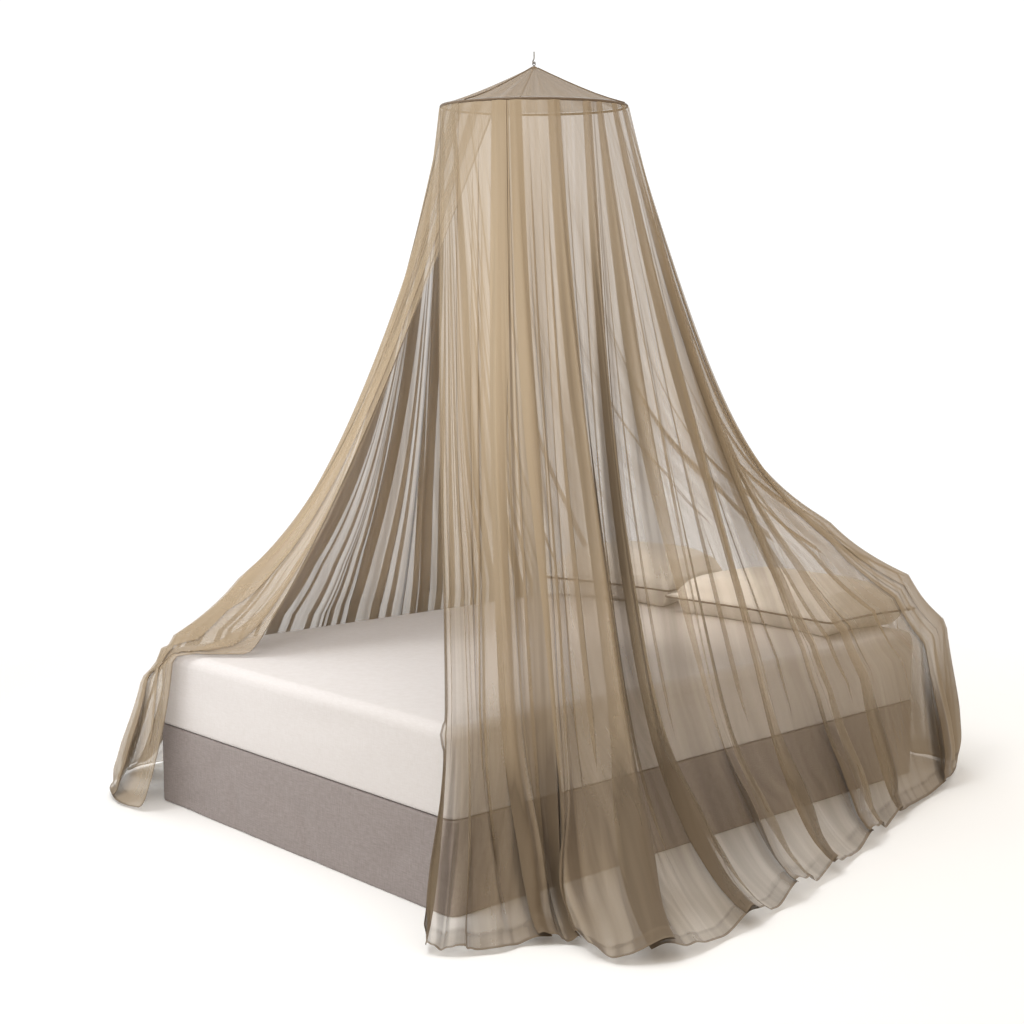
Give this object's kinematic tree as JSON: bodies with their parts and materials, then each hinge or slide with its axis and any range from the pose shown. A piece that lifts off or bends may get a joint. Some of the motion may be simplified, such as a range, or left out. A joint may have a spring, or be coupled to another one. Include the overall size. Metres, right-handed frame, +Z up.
{
  "type": "bed canopy with bed",
  "caption": "Cone-topped canopy of fine shielding net on a hoop, hung from a ceiling hook, open at the foot and draped over a low bed with pillows.",
  "frame": {"origin": "middle of the flat top of the ceiling hook", "axes": "+Z up out of the hook's top, +X along the bed towards its head, +Y across the bed to its far side"},
  "size_m": [2.3911, 2.3544, 2.286],
  "materials": {
    "net": "sheer beige shielding net with a sub-millimetre mesh",
    "trim": "brown piping and casing of the same net in several layers",
    "steel": "plain bent wire",
    "sheet": "cream fitted cotton sheet",
    "upholstery": "grey linen-like loose cover",
    "pillowcase": "white cotton with thin dark piping"
  },
  "bodies": {
    "root": {"ceiling_hook": "steel", "hanging_loop": "trim", "apex_cap": "trim", "crown_gore_1": "net", "crown_gore_2": "net", "crown_gore_3": "net", "crown_piping_1": "trim", "crown_piping_2": "trim", "crown_piping_3": "trim", "hoop": "trim", "net_gore_near_flap": "net", "net_gore_near_foot": "net", "net_gore_near_middle": "net", "net_gore_near_head": "net", "net_gore_head": "net", "net_gore_far_head": "net", "net_gore_far_foot": "net", "net_gore_far_flap": "net", "bed_base": "upholstery", "mattress": "sheet", "pillow_near": "pillowcase", "pillow_far": "pillowcase"}
  },
  "joints": []
}
